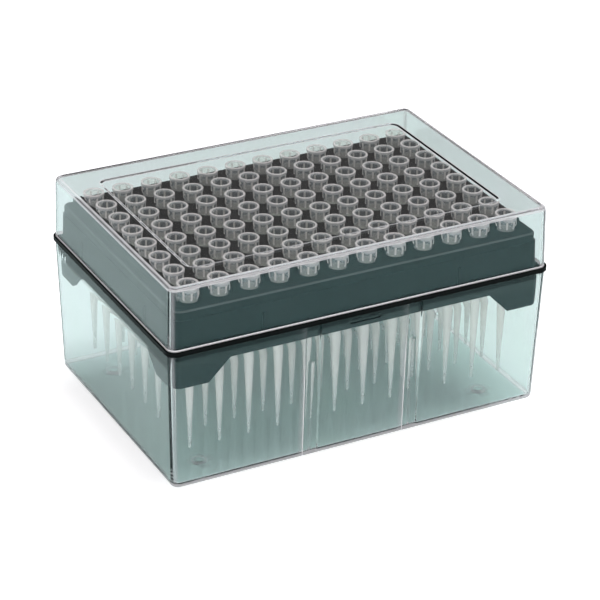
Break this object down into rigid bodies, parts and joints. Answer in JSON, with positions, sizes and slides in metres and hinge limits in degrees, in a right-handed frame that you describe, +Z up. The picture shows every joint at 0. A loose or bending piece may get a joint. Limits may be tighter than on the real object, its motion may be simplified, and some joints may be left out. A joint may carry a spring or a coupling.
{
  "type": "box of pipette tips",
  "caption": "Clear lidded box with a dark rack that holds a grid of hanging pipette tips; the lid lifts off.",
  "frame": {"origin": "under the middle of the tub, at the level of its feet", "axes": "+X along the long side, +Y along the short side towards row A, +Z up"},
  "size_m": [0.119, 0.0822, 0.0622],
  "materials": {
    "clear_plastic": "clear, polished",
    "dark_plastic": "satin, dark grey-black",
    "milky_plastic": "translucent, natural"
  },
  "bodies": {
    "box": {"base_box": "clear_plastic", "tip_rack": "dark_plastic", "tip_E01": "milky_plastic", "tip_E02": "milky_plastic", "tip_E03": "milky_plastic", "tip_E04": "milky_plastic", "tip_E05": "milky_plastic", "tip_E06": "milky_plastic", "tip_E07": "milky_plastic", "tip_E08": "milky_plastic", "tip_E09": "milky_plastic", "tip_E10": "milky_plastic", "tip_E11": "milky_plastic", "tip_E12": "milky_plastic", "tip_F01": "milky_plastic", "tip_F02": "milky_plastic", "tip_F03": "milky_plastic", "tip_F04": "milky_plastic", "tip_F05": "milky_plastic", "tip_F06": "milky_plastic", "tip_F07": "milky_plastic", "tip_F08": "milky_plastic", "tip_F09": "milky_plastic", "tip_F10": "milky_plastic", "tip_F11": "milky_plastic", "tip_F12": "milky_plastic", "tip_G01": "milky_plastic", "tip_G02": "milky_plastic", "tip_G03": "milky_plastic", "tip_G04": "milky_plastic", "tip_G05": "milky_plastic", "tip_G06": "milky_plastic", "tip_G07": "milky_plastic", "tip_G08": "milky_plastic", "tip_G09": "milky_plastic", "tip_G10": "milky_plastic", "tip_G11": "milky_plastic", "tip_G12": "milky_plastic", "tip_H01": "milky_plastic", "tip_H02": "milky_plastic", "tip_H03": "milky_plastic", "tip_H04": "milky_plastic", "tip_H05": "milky_plastic", "tip_H06": "milky_plastic", "tip_H07": "milky_plastic", "tip_H08": "milky_plastic", "tip_H09": "milky_plastic", "tip_H10": "milky_plastic", "tip_H11": "milky_plastic", "tip_H12": "milky_plastic"},
    "lid": {"lid": "clear_plastic"}
  },
  "joints": [
    {"name": "lid_lift", "type": "slide", "parent": "box", "child": "lid", "axis": [0, 0, 1], "range_m": [0, 0.03]}
  ]
}
